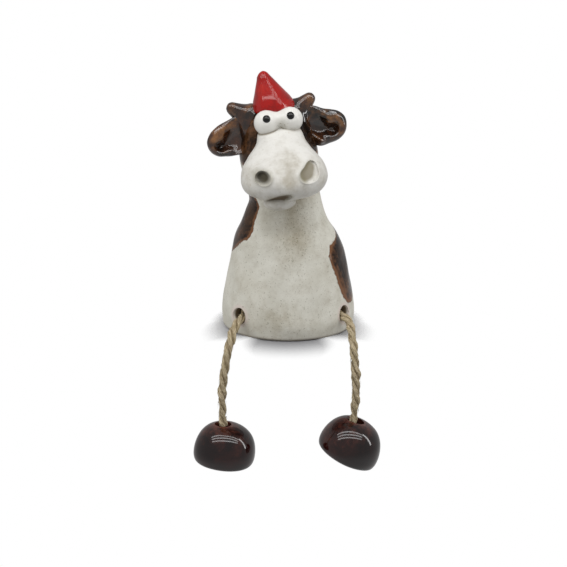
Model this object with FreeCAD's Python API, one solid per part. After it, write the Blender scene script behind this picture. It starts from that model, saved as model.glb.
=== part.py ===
import FreeCAD, Part
import math
import os

from FreeCAD import Placement, Rotation, Vector

# A pottery cow that sits on the edge of a shelf and lets two rope legs hang down in front of it.
# Millimetres. The origin is the centre of the flat foot of the bell, which is the top of the shelf.
# +Z is up, the cow looks along -Y, and left and right are the viewer's, so left is -X.
# The clay pieces are made apart and joined wet. Each leg is a jute rope, knotted inside the bell,
# led out through a hole, and knotted again under the hoof that is threaded on it.

# Bell-shaped body
foot_radius = 42.3
body_height = 84.0
neck_radius = 22.3
neck_lean = 2.6
clay_wall = 5.0
foot_rounding = 2.4
bell_shares = (
    (0.0, 0.984, 0.00),
    (0.1, 1.000, 0.00),
    (0.2, 0.986, 0.00),
    (0.3, 0.957, 0.00),
    (0.4, 0.914, 0.00),
    (0.5, 0.871, 0.00),
    (0.6, 0.829, 0.05),
    (0.7, 0.764, 0.35),
    (0.8, 0.656, 0.70),
    (0.9, 0.580, 0.85),
)

# Leg holes through the bell
hole_radius = 5.0
hole_height = 12.6
hole_bearing_left = -47.0
hole_bearing_right = 57.0

# Head, which leans over to the left and looks a little to the right
head_radius = 24.4
head_height = 60.0
head_roll = 7.5
head_yaw = 5.0
head_shares = (
    (0.14, 0.935),
    (0.28, 0.978),
    (0.42, 1.000),
    (0.55, 0.980),
    (0.67, 0.910),
    (0.77, 0.805),
    (0.86, 0.660),
    (0.93, 0.485),
    (0.98, 0.255),
    (1.00, 0.000),
)

# Muzzle, a bell laid against the front of the head
muzzle_half_width = 26.3
muzzle_drop = 13.5
muzzle_reach = 53.0
muzzle_back = 8.0
muzzle_roll = 4.0
muzzle_shares = (
    (1.000, 0.290, 0.390),
    (0.970, 0.450, 0.470),
    (0.905, 0.520, 0.540),
    (0.800, 0.575, 0.630),
    (0.710, 0.675, 0.720),
    (0.625, 0.805, 0.820),
    (0.540, 0.925, 0.910),
    (0.430, 0.990, 0.975),
    (0.320, 1.000, 1.000),
    (0.220, 0.930, 0.975),
    (0.145, 0.770, 0.905),
    (0.105, 0.520, 0.800),
    (0.095, 0.250, 0.680),
)
nostril_spacing = 27.7
nostril_height = 22.7
nostril_radius_left = 4.3
nostril_radius_right = 5.2
nostril_depth = 4.4
nostril_height_share = 0.86
nostril_point_radius = 2.6
nostril_point_half_height = 3.6
nostril_point_offset = 1.3
mouth_length = 14.6
mouth_gape = 2.6
mouth_depth = 3.4
mouth_offset = -5.4
mouth_height = 6.6
mouth_slant = 8.0

# Chin under the mouth
chin_half_width = 9.2
chin_half_depth = 8.6
chin_half_height = 5.8
chin_offset = -3.8
chin_reach = 34.5
chin_height = 3.6

# Eyes
eye_radius = 7.7
eye_spacing = 14.6
eye_offset = 1.4
eye_reach = 19.5
eye_drop = 10.6
pupil_radius = 2.45
pupil_rise = 1.0
pupil_look_up = 28.0

# Pointed hat
hat_radius = 13.3
hat_height = 24.8
hat_sink = 6.0
hat_tip_radius = 3.1
hat_tip_shift = 3.6
hat_offset = 0.6
hat_reach = 3.0
hat_shares = (
    (0.00, 1.000, 0.00),
    (0.14, 0.985, 0.02),
    (0.28, 0.890, 0.14),
    (0.44, 0.725, 0.36),
    (0.62, 0.545, 0.62),
    (0.78, 0.385, 0.84),
)

# Horns
horn_base_radius = 5.8
horn_tip_radius = 3.7
horn_length = 17.0
horn_spread = 12.0
horn_drop = 9.4
horn_rise = 31.0

# Ears, cupped paddles
ear_half_length = 13.0
ear_half_height = 10.6
ear_half_thickness = 5.4
ear_spread = 30.4
ear_drop = 20.2
ear_reach = 3.0
ear_cup_share = 0.72
ear_cup_depth = 6.2

# Rope legs. A route is the rope's corner points, counted from the outer mouth of its hole.
rope_diameter = 5.2
knot_radius = 6.6
knot_slack = 0.5
left_route = (
    (-0.8, -4.8, -0.4),
    (-5.1, -17.7, -11.6),
    (-8.6, -21.2, -29.6),
    (-10.1, -21.6, -46.6),
    (-9.4, -21.2, -62.3),
)
right_route = (
    (2.2, -4.6, -0.2),
    (4.0, -21.2, -9.2),
    (5.5, -27.2, -23.6),
    (6.9, -27.6, -41.9),
    (6.8, -27.0, -60.1),
)
arc_share = 0.45

# Hooves
hoof_radius = 19.6
hoof_height = 25.5
hoof_tilt_left = 6.0
hoof_tilt_right = 25.0
hoof_bore_shift_left = -1.0
hoof_bore_shift_right = 2.6
hoof_bore_radius = 5.0
hoof_recess_radius = 8.0
hoof_recess_depth = 10.0
end_knot_radius = 6.2
turning_gap = 0.45
hoof_shares = (
    (0.840, 0.000),
    (0.945, 0.045),
    (0.990, 0.150),
    (1.000, 0.290),
    (0.955, 0.500),
    (0.840, 0.700),
    (0.640, 0.870),
    (0.380, 0.965),
    (0.000, 1.000),
)

# How far a cutting shape runs past what it cuts
overrun = 2.0

X_AXIS = Vector(1, 0, 0)
Y_AXIS = Vector(0, 1, 0)
Z_AXIS = Vector(0, 0, 1)
ORIGIN = Vector(0, 0, 0)


def ring(centre, radius, tilt):
    """A circle whose plane is level, or leans about Y by tilt degrees."""
    edge = Part.Circle(ORIGIN, Z_AXIS, radius).toShape()
    edge.Placement = Placement(centre, Rotation(Y_AXIS, tilt))
    return Part.Wire(edge)


def oval(centre_x, centre_y, height, half_x, half_y):
    """A level oval, drawn through points that start at the same corner on every level."""
    count = 20
    points = []
    for i in range(count):
        turn = 2 * math.pi * i / count
        points.append(Vector(centre_x + half_x * math.cos(turn), centre_y + half_y * math.sin(turn), height))
    curve = Part.BSplineCurve()
    curve.interpolate(Points=points, PeriodicFlag=True)
    return Part.Wire(curve.toShape())


def turned(profile):
    """A solid of revolution about Z from (radius, height) points that run up to the axis."""
    points = [Vector(0, r, z) for r, z in profile]
    top = points[-1]
    mirrored = [Vector(0, -point.y, point.z) for point in reversed(points[:-1])]
    curve = Part.BSplineCurve()
    curve.interpolate(Points=points + mirrored)
    curve.segment(curve.FirstParameter, curve.parameter(top))
    foot = Vector(0, 0, points[0].z)
    rim = Part.LineSegment(foot, points[0]).toShape()
    axis = Part.LineSegment(top, foot).toShape()
    face = Part.Face(Part.Wire([rim, curve.toShape(), axis]))
    return face.revolve(ORIGIN, Z_AXIS, 360)


def ball(centre, half_x, half_y, half_z):
    """A ball stretched to three half sizes, as a smooth closed solid."""
    matrix = FreeCAD.Matrix()
    matrix.scale(half_x, half_y, half_z)
    solid = Part.makeSphere(1).transformGeometry(matrix)
    solid.translate(centre)
    return solid


def placed(shape, place):
    """A copy of the shape, carried to a place on top of where it stands already."""
    moved = shape.copy()
    moved.Placement = place.multiply(moved.Placement)
    return moved


def carved(shape, *cutters):
    """The shape less the cutters: its largest solid, without the chips beside it."""
    for cutter in cutters:
        shape = shape.cut(cutter.copy())
    return max(shape.Solids, key=lambda solid: solid.Volume)


def bearing(angle):
    """The level direction at an angle from straight ahead, positive towards the right."""
    return Vector(math.sin(math.radians(angle)), -math.cos(math.radians(angle)), 0)


def neck_joint():
    return Vector(-neck_lean, 0, body_height)


def head_place():
    """Where the head's own frame stands: on the neck, rolled to the left, turned to the right."""
    lean = Rotation(Y_AXIS, -head_roll)
    look = Rotation(Z_AXIS, head_yaw)
    return Placement(neck_joint(), lean.multiply(look))


def muzzle_place():
    """The muzzle hangs more upright than the head does, turned back about the nostrils."""
    centre = Vector(0, 0, nostril_height)
    back = Placement(ORIGIN, Rotation(Y_AXIS, muzzle_roll), centre)
    return head_place().multiply(back)


def bell(inset, extra):
    """The bell as a solid, drawn in by inset all round and run on by extra at both ends."""
    rings = []
    if extra:
        first_radius = foot_radius * bell_shares[0][1] - inset
        rings.append(ring(Vector(0, 0, -extra), first_radius, 0))
    for height_share, radius_share, lean_share in bell_shares:
        centre = Vector(-neck_lean * lean_share, 0, body_height * height_share)
        rings.append(ring(centre, foot_radius * radius_share - inset, 0))
    rings.append(ring(neck_joint(), neck_radius - inset, -head_roll))
    if extra:
        along = Rotation(Y_AXIS, -head_roll).multVec(Vector(0, 0, extra))
        rings.append(ring(neck_joint() + along, neck_radius - inset, -head_roll))
    return Part.makeLoft(rings, True, False)


def leg_hole(angle):
    """The drill through the wall, square to it."""
    out = bearing(angle)
    start = out * (foot_radius - clay_wall - overrun)
    start.z = hole_height
    return Part.makeCylinder(hole_radius, clay_wall + 2 * overrun, start, out)


def make_body():
    outer = bell(0, 0)
    foot_edges = [edge for edge in outer.Edges if abs(edge.BoundBox.ZMax) < foot_rounding / 2]
    outer = outer.makeFillet(foot_rounding, foot_edges)
    return carved(outer, bell(clay_wall, overrun), leg_hole(hole_bearing_left), leg_hole(hole_bearing_right))


def head_form(inset):
    """The head as a solid ball on its neck, in its own frame, drawn in by inset all round."""
    radius = head_radius - inset
    height = head_height - inset
    profile = [(neck_radius - inset, 0)]
    for height_share, radius_share in head_shares:
        profile.append((radius * radius_share, height * height_share))
    return turned(profile)


def make_head(form):
    hollow = head_form(clay_wall)
    throat = Part.makeCylinder(neck_radius - clay_wall, 2 * overrun, Vector(0, 0, -overrun))
    return placed(carved(form, hollow, throat), head_place())


def muzzle_form():
    """The muzzle before its nostrils and mouth, in its own frame."""
    levels = []
    height = head_height - muzzle_drop
    for height_share, width_share, reach_share in muzzle_shares:
        front = -muzzle_reach * reach_share
        half_depth = (-muzzle_back - front) / 2
        level = height * height_share
        levels.append(oval(0, front + half_depth, level, muzzle_half_width * width_share, half_depth))
    return Part.makeLoft(levels, True, False)


def nostrils(form):
    """One round thumb hole, and one shallower drop with its point upwards."""
    half = nostril_spacing / 2
    tools = []
    for side, radius in ((-1, nostril_radius_left), (1, nostril_radius_right)):
        probe = Part.makeLine(Vector(side * half, -2 * muzzle_reach, nostril_height),
                              Vector(side * half, -muzzle_back, nostril_height))
        surface = probe.common(form).BoundBox.YMin
        centre = Vector(side * half, surface, nostril_height)
        tools.append(ball(centre, radius, nostril_depth, radius * nostril_height_share))
    point = centre + Vector(nostril_point_offset, nostril_depth / 2, nostril_radius_right)
    tools.append(ball(point, nostril_point_radius, nostril_depth, nostril_point_half_height))
    return tools


def mouth(form):
    """The slit between the muzzle's lower edge and the chin."""
    place = Vector(mouth_offset, -2 * muzzle_reach, mouth_height)
    probe = Part.makeLine(place, Vector(mouth_offset, -muzzle_back, mouth_height))
    surface = probe.common(form).BoundBox.YMin
    tool = ball(ORIGIN, mouth_length / 2, mouth_depth, mouth_gape / 2)
    return placed(tool, Placement(Vector(mouth_offset, surface, mouth_height), Rotation(Y_AXIS, -mouth_slant)))


def make_muzzle(form, head):
    muzzle = placed(carved(form, *nostrils(form), mouth(form)), muzzle_place())
    return carved(muzzle, head)


def make_chin(form, head):
    chin = ball(Vector(chin_offset, -chin_reach, chin_height), chin_half_width, chin_half_depth, chin_half_height)
    chin = placed(carved(chin, mouth(form), form), muzzle_place())
    return carved(chin, head)


def eye_centre(side):
    return Vector(eye_offset + side * eye_spacing / 2, -eye_reach, head_height - eye_drop)


def eye_ball(side):
    return placed(Part.makeSphere(eye_radius, eye_centre(side)), head_place())


def make_pupil(side, eye):
    """A small bead pressed on the ball, looking up."""
    look = Vector(0, -math.cos(math.radians(pupil_look_up)), math.sin(math.radians(pupil_look_up)))
    bead = ball(ORIGIN, pupil_radius, pupil_radius, 2 * pupil_rise)
    seat = Placement(eye_centre(side) + look * (eye_radius - pupil_rise), Rotation(Z_AXIS, look))
    return carved(placed(bead, head_place().multiply(seat)), eye)


def hat_form():
    rings = []
    seat = head_height - hat_sink
    for height_share, radius_share, shift_share in hat_shares:
        level = seat + hat_height * height_share
        centre = Vector(hat_offset - hat_tip_shift * shift_share, -hat_reach, level)
        rings.append(ring(centre, hat_radius * radius_share, 0))
    tip_level = seat + hat_height - hat_tip_radius
    tip = Vector(hat_offset - hat_tip_shift, -hat_reach, tip_level)
    half_angle = math.atan2(hat_radius * radius_share - hat_tip_radius, tip_level - level)
    meeting = tip + Vector(0, 0, hat_tip_radius * math.sin(half_angle))
    rings.append(ring(meeting, hat_tip_radius * math.cos(half_angle), 0))
    cone = Part.makeLoft(rings, True, False)
    return placed(cone.fuse(Part.makeSphere(hat_tip_radius, tip)), head_place())


def make_horn(side):
    """A blunt stub that points out and up."""
    shoulder = horn_length - horn_tip_radius
    slope = Part.makeCone(horn_base_radius, horn_tip_radius, shoulder)
    tip = Part.makeSphere(horn_tip_radius, Vector(0, 0, shoulder))
    horn = slope.fuse(tip)
    out = Vector(side * math.cos(math.radians(horn_rise)), 0, math.sin(math.radians(horn_rise)))
    root = Placement(Vector(side * horn_spread, 0, head_height - horn_drop), Rotation(Z_AXIS, out))
    return placed(horn, head_place().multiply(root))


def make_ear(side):
    """A paddle with a thumbed hollow that faces forwards. The right one mirrors the left."""
    centre = Vector(-ear_spread, -ear_reach, head_height - ear_drop)
    paddle = ball(centre, ear_half_length, ear_half_thickness, ear_half_height)
    cup_centre = centre - Vector(0, ear_half_thickness, 0)
    cup = ball(cup_centre, ear_half_length * ear_cup_share, ear_cup_depth, ear_half_height * ear_cup_share)
    ear = carved(paddle, cup)
    if side > 0:
        ear = ear.mirror(ORIGIN, X_AXIS)
    return placed(ear, head_place())


def rope_corners(angle, route):
    """The rope's corner points: the knot inside the bell, pulled up to the hole, then the route."""
    sink = math.sqrt(knot_radius ** 2 - hole_radius ** 2)
    knot = bearing(angle) * (foot_radius - clay_wall - sink - knot_slack)
    knot.z = hole_height
    mouth = bearing(angle) * foot_radius
    mouth.z = hole_height
    return [knot] + [mouth + Vector(x, y, z) for x, y, z in route]


def rope_path(corners, name):
    """Straight runs joined by tangent arcs. Prints each arc's radius."""
    edges = []
    start = corners[0]
    radii = []
    for before, corner, after in zip(corners, corners[1:], corners[2:]):
        run_in = corner - before
        run_out = after - corner
        half_turn = run_in.getAngle(run_out) / 2
        shorter = min(run_in.Length, run_out.Length)
        tangent = arc_share * shorter
        radius = tangent / math.tan(half_turn)
        radii.append(radius)
        run_in.normalize()
        run_out.normalize()
        arc_start = corner - run_in * tangent
        arc_end = corner + run_out * tangent
        inward = run_out - run_in
        inward.normalize()
        middle = corner + inward * (radius / math.cos(half_turn) - radius)
        edges.append(Part.LineSegment(start, arc_start).toShape())
        edges.append(Part.Arc(arc_start, middle, arc_end).toShape())
        start = arc_end
    edges.append(Part.LineSegment(start, corners[-1]).toShape())
    print(name, "arc radii", [round(r, 1) for r in radii])
    return edges


def rope_tube(edges, name):
    """A round rope along some of the path's edges. Prints its volume over section times length."""
    wire = Part.Wire(edges)
    start = edges[0].valueAt(edges[0].FirstParameter)
    along = edges[0].tangentAt(edges[0].FirstParameter)
    section = Part.Face(Part.Wire(Part.Circle(start, along, rope_diameter / 2).toShape()))
    tube = wire.makePipe(section)
    area = math.pi * rope_diameter ** 2 / 4
    print(name, "length", round(wire.Length, 1), "volume ratio", round(tube.Volume / (area * wire.Length), 4))
    return tube


def make_inner_knot(corners, edges):
    """The knot that stops the rope inside the bell, with the rope that stands in the hole."""
    knot = Part.makeSphere(knot_radius, corners[0])
    return knot.fuse(rope_tube(edges[:1], "stem"))


def make_rope_drop(edges, name):
    """The hanging run, with a round end where the hoof rocks on it."""
    end = edges[-1].valueAt(edges[-1].LastParameter)
    return rope_tube(edges, name).fuse(Part.makeSphere(rope_diameter / 2, end))


def hoof_dome():
    """The hoof before it is bored, with the seam of its surface on the right."""
    dome = turned([(hoof_radius * r, hoof_height * z) for r, z in hoof_shares])
    return placed(dome, Placement(ORIGIN, Rotation(Z_AXIS, -90)))


def make_hoof(tilt, shift, pivot):
    """A leaning dome, bored upright beside its balance point, with a recess for the knot.

    The pivot is where the rope enters it. The height of the recess's ceiling comes back too.
    """
    dome = hoof_dome()
    lift = Placement(-dome.CenterOfMass, Rotation())
    dome = placed(dome, Placement(ORIGIN, Rotation(Y_AXIS, tilt)).multiply(lift))
    below = Vector(shift, 0, -hoof_height)
    above = Vector(shift, 0, hoof_height)
    upright = Part.makeLine(below, above).common(dome)
    top = upright.BoundBox.ZMax
    ceiling = upright.BoundBox.ZMin + hoof_recess_depth
    bore = Part.makeCylinder(hoof_bore_radius, 2 * hoof_height, below)
    recess = Part.makeCylinder(hoof_recess_radius, ceiling + hoof_height + overrun, below - Vector(0, 0, overrun))
    hoof = carved(dome, recess.fuse(bore))
    return placed(hoof, Placement(pivot - Vector(shift, 0, top), Rotation())), ceiling - top + pivot.z


def make_end_knot(pivot, ceiling):
    """The rope inside the hoof's bore and the knot that the hoof hangs on."""
    sink = math.sqrt(end_knot_radius ** 2 - hoof_bore_radius ** 2) + turning_gap
    centre = Vector(pivot.x, pivot.y, ceiling - sink)
    knot = Part.makeSphere(end_knot_radius, centre)
    top = pivot.z - rope_diameter / 2 - turning_gap
    stem = Part.makeCylinder(rope_diameter / 2, top - centre.z, centre)
    return knot.fuse(stem)


def make_leg(side, angle, route, tilt, shift):
    corners = rope_corners(angle, route)
    edges = rope_path(corners, side + " rope")
    pivot = corners[-1]
    hoof, ceiling = make_hoof(tilt, shift, pivot)
    return {
        side + "_inner_knot": make_inner_knot(corners, edges),
        side + "_rope_bend": rope_tube(edges[1:4], side + " bend"),
        side + "_rope_drop": make_rope_drop(edges[4:], side + " drop"),
        side + "_end_knot": make_end_knot(pivot, ceiling),
        side + "_hoof": hoof,
    }


def make_cow():
    form = head_form(0)
    head_block = placed(form, head_place())
    muzzle_block = muzzle_form()
    muzzle = make_muzzle(muzzle_block, head_block)
    filled_muzzle = placed(muzzle_block, muzzle_place())

    left_ball = eye_ball(-1)
    right_ball = eye_ball(1)
    hat = carved(hat_form(), head_block, left_ball, right_ball)

    parts = {
        "body_shell": make_body(),
        "head_shell": make_head(form),
        "muzzle": muzzle,
        "chin": make_chin(muzzle_block, head_block),
        "left_eye": carved(left_ball, head_block, filled_muzzle),
        "right_eye": carved(right_ball, head_block, filled_muzzle, left_ball),
        "left_pupil": make_pupil(-1, left_ball),
        "right_pupil": make_pupil(1, right_ball),
        "hat": hat,
    }
    for side, sign in (("left", -1), ("right", 1)):
        horn = make_horn(sign)
        ear = make_ear(sign)
        parts[side + "_horn"] = carved(horn, head_block, hat, left_ball, right_ball)
        parts[side + "_ear"] = carved(ear, head_block, horn)
    left = (hole_bearing_left, left_route, hoof_tilt_left, hoof_bore_shift_left)
    right = (hole_bearing_right, right_route, hoof_tilt_right, hoof_bore_shift_right)
    parts.update(make_leg("left", *left))
    parts.update(make_leg("right", *right))
    return parts


os.makedirs("parts", exist_ok=True)
for node, shape in make_cow().items():
    if not shape.isValid() or len(shape.Solids) != 1:
        print("CHECK", node, shape.isValid(), len(shape.Solids))
    shape.exportStep("parts/" + node + ".step")
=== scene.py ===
import math
import bpy
import numpy as np
from mathutils import Matrix, Vector


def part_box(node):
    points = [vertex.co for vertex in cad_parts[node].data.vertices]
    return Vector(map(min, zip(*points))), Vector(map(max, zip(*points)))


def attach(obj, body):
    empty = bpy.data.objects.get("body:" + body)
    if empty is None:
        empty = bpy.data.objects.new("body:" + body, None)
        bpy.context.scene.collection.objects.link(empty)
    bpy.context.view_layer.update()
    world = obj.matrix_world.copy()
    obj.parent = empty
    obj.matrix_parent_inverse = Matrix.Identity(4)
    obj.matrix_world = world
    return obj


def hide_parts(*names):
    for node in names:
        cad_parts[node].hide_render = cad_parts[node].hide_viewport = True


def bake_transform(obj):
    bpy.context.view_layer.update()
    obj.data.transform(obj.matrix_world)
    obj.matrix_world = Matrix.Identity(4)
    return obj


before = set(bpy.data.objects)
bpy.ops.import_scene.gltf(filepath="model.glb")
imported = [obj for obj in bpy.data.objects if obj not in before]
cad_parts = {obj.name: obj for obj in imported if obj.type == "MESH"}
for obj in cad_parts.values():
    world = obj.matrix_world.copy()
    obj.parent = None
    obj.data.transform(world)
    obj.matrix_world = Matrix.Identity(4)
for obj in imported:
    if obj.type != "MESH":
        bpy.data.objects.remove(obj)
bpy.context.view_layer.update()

mm = 0.001

# Camera
# The photograph looks slightly down on the front of the cow, from about a metre away. The lens makes
# one of its pixels 0.64 mm wide at the cow, which is what the thickness of the leg ropes gives.
camera_distance = 0.9
camera_elevation = math.radians(16)
camera_aim = Vector((-0.0029, 0.0, 0.0256))
camera_sensor = 36
photo_width = 567
photo_pixel = 0.64 * mm
camera_data = bpy.data.cameras.new("camera")
camera_data.sensor_width = camera_sensor
camera_data.lens = camera_sensor * camera_distance / (photo_width * photo_pixel)
camera = bpy.data.objects.new("camera", camera_data)
towards_camera = Vector((0, -math.cos(camera_elevation), math.sin(camera_elevation)))
camera.location = camera_aim + camera_distance * towards_camera
camera.rotation_euler = towards_camera.to_track_quat("Z", "Y").to_euler()
bpy.context.collection.objects.link(camera)
bpy.context.scene.camera = camera
bpy.context.scene.view_settings.view_transform = "Standard"


# Leg ropes
# Each leg is one natural jute rope of three strands laid to the right. It is knotted inside the
# bell, comes out of a hole low in its front, goes over the shelf edge and down into the hoof.
sides = ("left", "right")
foot_radius = 42.3 * mm
clay_wall = 5.0 * mm
hole_height = 12.6 * mm
hole_radius = 5.0 * mm
hole_bearings = {"left": math.radians(-47), "right": math.radians(57)}
rope_diameter = 5.2 * mm
knot_radius = 6.6 * mm
knot_slack = 0.5 * mm
rope_steps = {
    "left": ((-0.8, -4.8, -0.4), (-5.1, -17.7, -11.6), (-8.6, -21.2, -29.6), (-10.1, -21.6, -46.6),
             (-9.4, -21.2, -62.3)),
    "right": ((2.2, -4.6, -0.2), (4.0, -21.2, -9.2), (5.5, -27.2, -23.6), (6.9, -27.6, -41.9),
              (6.8, -27.0, -60.1)),
}
end_shift = {"left": (0, -0.8, -2.0), "right": (-1.8, -0.6, -2.0)}
bend_height = 8.0 * mm
hang_height = -14.0 * mm
rope_pitch = 27.0 * mm
rope_step = 0.4 * mm
strand_share = 0.55
strand_columns = 18
strand_waver = 0.15
strand_wave = 8.0 * mm
rope_slubs = {"left": ((2.0, 0.14), (-29.0, 0.2), (-38.0, -0.15), (-46.0, -0.15)),
              "right": ((-18.0, 0.25), (-28.0, -0.12), (-33.0, 0.1), (-44.0, -0.15))}
slub_length = 3.2 * mm
tuft = 0.11
tuft_wave = 1.7 * mm
fibre_lengths = (1.6, 3.6)
fibre_lifts = (0.1, 0.7)
fibre_root = 0.44
fibre_radius = 0.1 * mm
jute_light = "#E6D6B6"
jute_dark = "#84704E"
jute_olive = "#B9AA84"
jute_relief = 0.6 * mm


def colour(code):
    """The linear colour of a six-figure code."""
    channels = np.array([int(code[i:i + 2], 16) for i in (1, 3, 5)]) / 255
    linear = np.where(channels < 0.04045, channels / 12.92, ((channels + 0.055) / 1.055) ** 2.4)
    return (*linear.tolist(), 1.0)


def lumps(points, wavelength, seed):
    """Smooth unevenness, mostly between -1 and 1: a dozen sine waves in fixed random directions, added up."""
    draw = np.random.RandomState(seed)
    directions = draw.normal(size=(12, 3))
    directions /= np.linalg.norm(directions, axis=1)[:, None]
    lengths = wavelength * draw.uniform(0.7, 1.4, 12)
    phases = draw.uniform(0, 2 * np.pi, 12)
    waves = np.sin(2 * np.pi * (points @ directions.T) / lengths + phases)
    return 0.2 * waves.sum(axis=-1)


def hump(values, middle, width):
    """A bell curve, e to minus the square of the widths away: 1 at the middle, next to 0 at two widths."""
    return np.exp(-((values - middle) / width) ** 2)


def shade(mesh, sharp):
    """Shades a mesh smooth, apart from the edges that turn by more than so many degrees."""
    mesh.polygons.foreach_set("use_smooth", np.ones(len(mesh.polygons), bool))
    mesh.set_sharp_from_angle(angle=math.radians(sharp))


def skin(name, grids, loop=False, sharp=50):
    """A mesh over grids of points, rows by columns, with a quad between each four neighbours.

    The columns close into rings. The rows close into a loop where loop is set, and otherwise each end
    row is drawn into one vertex, its first. Each grid's faces are turned outwards, by the sign of the
    volume that they enclose.
    """
    vertices = []
    faces = []
    for grid in grids:
        rows, columns = grid.shape[:2]
        index = np.arange(rows * columns).reshape(rows, columns)
        if not loop:
            index[[0, -1]] = index[[0, -1], :1]
        low = index if loop else index[:-1]
        high = np.roll(index, -1, axis=0) if loop else index[1:]
        quads = np.stack([low, np.roll(low, -1, 1), np.roll(high, -1, 1), high], axis=-1).reshape(-1, 4)
        places = grid.reshape(-1, 3)
        a, b, c, d = (places[quads[:, i]] for i in range(4))
        volume = (np.cross(a, b) * c).sum() + (np.cross(a, c) * d).sum()
        if volume < 0:
            quads = quads[:, ::-1]
        offset = sum(len(block) for block in vertices)
        vertices.append(places)
        repeats = quads == np.roll(quads, -1, axis=1)
        faces += [[v + offset for v, twice in zip(quad, same) if not twice]
                  for quad, same in zip(quads.tolist(), repeats.tolist())]
    used, numbers = np.unique(np.concatenate(faces), return_inverse=True)
    parts = np.split(numbers, np.cumsum([len(face) for face in faces])[:-1])
    mesh = bpy.data.meshes.new(name)
    mesh.from_pydata(np.concatenate(vertices)[used].tolist(), [], [part.tolist() for part in parts])
    shade(mesh, sharp)
    piece = bpy.data.objects.new(name, mesh)
    bpy.context.collection.objects.link(piece)
    return piece


def places_of(mesh):
    """The mesh's vertices as an array of points."""
    places = np.empty(len(mesh.vertices) * 3, np.float32)
    mesh.vertices.foreach_get("co", places)
    return places.reshape(-1, 3).astype(float)


def way_along(points):
    """How far along a line of points each of them is."""
    return np.concatenate([[0], np.cumsum(np.linalg.norm(np.diff(points, axis=0), axis=1))])


def paint(piece, **masks):
    """Keeps each mask as a number for each vertex, for the piece's material to read."""
    for name, values in masks.items():
        layer = piece.data.attributes.new(name, "FLOAT", "POINT")
        layer.data.foreach_set("value", np.broadcast_to(values, len(layer.data)).astype(np.float32))


def wear(piece, material):
    """Gives the piece its material."""
    piece.data.materials.clear()
    piece.data.materials.append(material)


def add(tree, kind, sockets=None, **settings):
    """A node of this kind with its settings, whose sockets take a value or another node's output."""
    node = tree.nodes.new("ShaderNode" + kind)
    for key, value in settings.items():
        setattr(node, key, value)
    for key, value in (sockets or {}).items():
        if isinstance(value, bpy.types.NodeSocket):
            tree.links.new(value, node.inputs[key])
        else:
            node.inputs[key].default_value = value
    return node


def calc(tree, operation, a, b=0.0, c=0.0):
    """The output of one sum, product or other operation."""
    return add(tree, "Math", {0: a, 1: b, 2: c}, operation=operation).outputs[0]


def rising(tree, value, low, high):
    """0 below low, 1 above high, and a smooth step between them."""
    return add(tree, "MapRange", {"Value": value, "From Min": low, "From Max": high},
               interpolation_type="SMOOTHSTEP").outputs[0]


def tint(tree, share, first, second, mode="MIX"):
    """A colour between two, by share."""
    node = add(tree, "Mix", {0: share, 6: first, 7: second}, data_type="RGBA", blend_type=mode)
    return node.outputs[2]


def stain(tree, base, mask, strength, code, mode="MIX"):
    """The base with a colour laid over it where the mask is, at this strength."""
    return tint(tree, calc(tree, "MULTIPLY", mask, strength), base, colour(code), mode)


def noise(tree, scale, detail=3.0, roughness=0.55, vector=None, distortion=0.0):
    """Cloudy noise from 0 to 1 on the object's own coordinates, scale per metre."""
    if vector is None:
        vector = add(tree, "TexCoord").outputs["Object"]
    sockets = {"Vector": vector, "Scale": scale, "Detail": detail, "Roughness": roughness,
               "Distortion": distortion}
    return add(tree, "TexNoise", sockets).outputs[0]


def attribute(tree, name):
    """The number that a piece keeps for each of its vertices under this name."""
    return add(tree, "Attribute", attribute_name=name).outputs["Fac"]


def new_material(name, roughness=0.5, gloss=0.5):
    """An empty material, with its Principled shader at this roughness and specular level."""
    material = bpy.data.materials.new(name)
    material.use_nodes = True
    shader = material.node_tree.nodes["Principled BSDF"]
    shader.inputs["Roughness"].default_value = roughness
    shader.inputs["Specular IOR Level"].default_value = gloss
    return material, material.node_tree, shader


def join(tree, shader, **outputs):
    """Feeds outputs into the shader's sockets, where an underscore stands for a space."""
    for key, value in outputs.items():
        tree.links.new(value, shader.inputs[key.replace("_", " ")])


def raise_bumps(tree, shader, height, distance):
    """Feeds a height into the shader as a bump of this depth in metres."""
    bump = add(tree, "Bump", {"Height": height, "Distance": distance, "Strength": 1.0})
    tree.links.new(bump.outputs[0], shader.inputs["Normal"])


def bearing(angle):
    """The level direction at an angle from straight ahead, positive towards the right."""
    return np.array([math.sin(angle), -math.cos(angle), 0.0])


def rope_corners(side):
    """The model's own points for a rope: its knot, pulled up to the hole, and the steps from the mouth."""
    out = bearing(hole_bearings[side])
    rise = np.array([0, 0, hole_height])
    sink = math.sqrt(knot_radius ** 2 - hole_radius ** 2)
    knot = out * (foot_radius - clay_wall - sink - knot_slack) + rise
    mouth = out * foot_radius + rise
    return np.vstack([knot, mouth + np.array(rope_steps[side]) * mm])


def smooth_line(name, corners):
    """Points at even steps along the smooth curve that has these control points."""
    curve = bpy.data.curves.new(name, "CURVE")
    curve.dimensions = "3D"
    curve.resolution_u = 32
    spline = curve.splines.new("NURBS")
    spline.points.add(len(corners) - 1)
    spline.points.foreach_set("co", np.column_stack([corners, np.ones(len(corners))]).ravel())
    spline.order_u = 3
    spline.use_endpoint_u = True
    holder = bpy.data.objects.new(name, curve)
    mesh = bpy.data.meshes.new_from_object(holder)
    points = places_of(mesh)
    bpy.data.objects.remove(holder)
    bpy.data.meshes.remove(mesh)
    along = way_along(points)
    even = np.linspace(0, along[-1], int(along[-1] / rope_step) + 1)
    return np.column_stack([np.interp(even, along, points[:, i]) for i in range(3)])


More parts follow.
